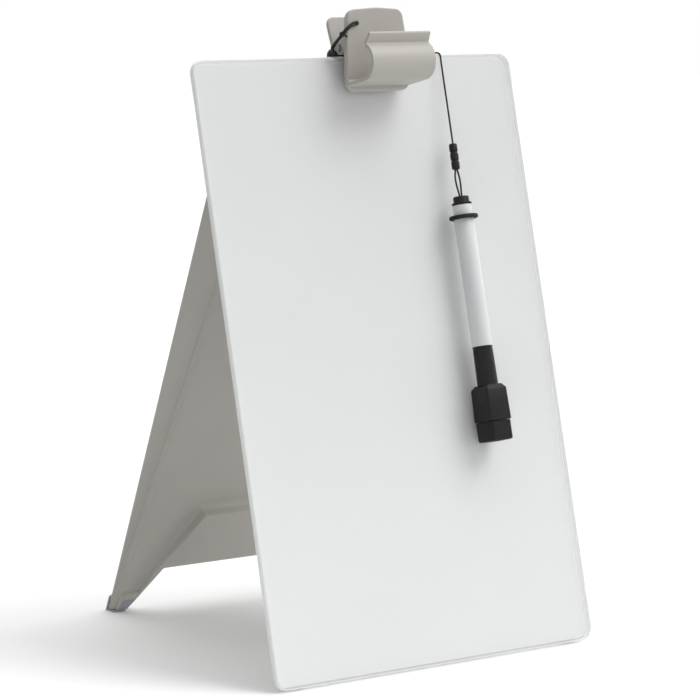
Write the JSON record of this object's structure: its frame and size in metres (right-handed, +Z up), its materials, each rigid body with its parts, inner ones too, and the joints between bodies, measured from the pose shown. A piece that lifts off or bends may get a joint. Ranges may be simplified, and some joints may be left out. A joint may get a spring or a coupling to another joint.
{
  "type": "desktop glass whiteboard",
  "caption": "Upright glass whiteboard on a folding stand, with a spring clip whose trough holds pens and a dry-wipe pen that hangs from it on a lanyard.",
  "frame": {"origin": "middle of the footprint, on the surface that it stands on", "axes": "+Z up, -Y out of the writing face, +X to the right of someone who writes on it"},
  "size_m": [0.227, 0.2416, 0.3793],
  "materials": {
    "low_iron_glass": "clear tempered glass with ground edges",
    "white_enamelled_steel": "white enamel, half gloss",
    "foam_tape": "closed-cell foam",
    "warm_grey_plastic": "moulded, fine matt texture",
    "pin_steel": "bright pin",
    "spring_steel": "dark drawn wire",
    "clear_bumper_rubber": "clear soft bumper",
    "lavender_grey_rubber": "soft matt rubber",
    "black_pad_rubber": "matt rubber",
    "black_woven_cord": "round woven elastic cord",
    "black_plastic": "moulded, half gloss",
    "white_plastic": "moulded, gloss",
    "ink_fibre": "fibre wick",
    "black_nib_fibre": "pressed fibre",
    "magnet_ceramic": "ceramic magnet",
    "black_eraser_felt": "dense felt"
  },
  "bodies": {
    "board": {"glass_panel": "low_iron_glass", "steel_backing_sheet": "white_enamelled_steel", "rail_tape": "foam_tape", "hinge_rail": "warm_grey_plastic", "hinge_pin_left": "pin_steel", "hinge_pin_right": "pin_steel", "board_foot_left": "clear_bumper_rubber", "board_foot_right": "clear_bumper_rubber"},
    "stand": {"stand_panel": "warm_grey_plastic", "foot_cap_left": "lavender_grey_rubber", "foot_cap_right": "lavender_grey_rubber"},
    "clip": {"clip_front_jaw": "warm_grey_plastic", "clip_pivot_pin": "spring_steel", "clip_spring": "spring_steel", "clip_front_pad": "black_pad_rubber", "hitch_cord_upper": "black_woven_cord", "hitch_cord_lower": "black_woven_cord", "stop_knot": "black_woven_cord", "hitch_knot": "black_woven_cord", "neck_cord_left": "black_woven_cord", "neck_cord_right": "black_woven_cord", "lanyard_bead": "black_plastic", "lanyard_top_run": "black_woven_cord"},
    "rear_jaw": {"clip_rear_jaw": "warm_grey_plastic", "clip_rear_pad": "black_pad_rubber"},
    "pen": {"lanyard_drop": "black_woven_cord", "cord_lock": "black_plastic", "pen_loop_left": "black_woven_cord", "pen_loop_right": "black_woven_cord", "pen_barrel": "white_plastic", "pen_end_plug": "black_plastic", "pen_ring": "black_pad_rubber", "ink_reservoir": "ink_fibre", "pen_nose": "black_plastic", "pen_nib": "black_nib_fibre"},
    "pen_cap": {"pen_cap": "black_plastic", "cap_magnet": "magnet_ceramic", "eraser_felt": "black_eraser_felt"}
  },
  "joints": [
    {"name": "stand_fold", "type": "hinge", "parent": "board", "child": "stand", "pos_m": [0, -0.02864, 0.30852], "axis": [-1, 0, 0], "range_deg": [0, 38.7]},
    {"name": "clip_slide", "type": "slide", "parent": "board", "child": "clip", "axis": [1, 0, 0], "range_m": [-0.085, 0.04]},
    {"name": "clip_jaw", "type": "hinge", "parent": "clip", "child": "rear_jaw", "pos_m": [0.01, -0.03007, 0.3556], "axis": [1, 0, 0], "range_deg": [0, 8.6], "stiffness_Nm_per_rad": 0.15, "springref_deg": -34.38},
    {"name": "pen_swing", "type": "hinge", "parent": "clip", "child": "pen", "pos_m": [0.0611, -0.03404, 0.3501], "axis": [-1, 0, 0], "range_deg": [0, 60]},
    {"name": "pen_cap_pull", "type": "slide", "parent": "pen", "child": "pen_cap", "axis": [0, -0.2445, -0.9697], "range_m": [0, 0.03]}
  ]
}
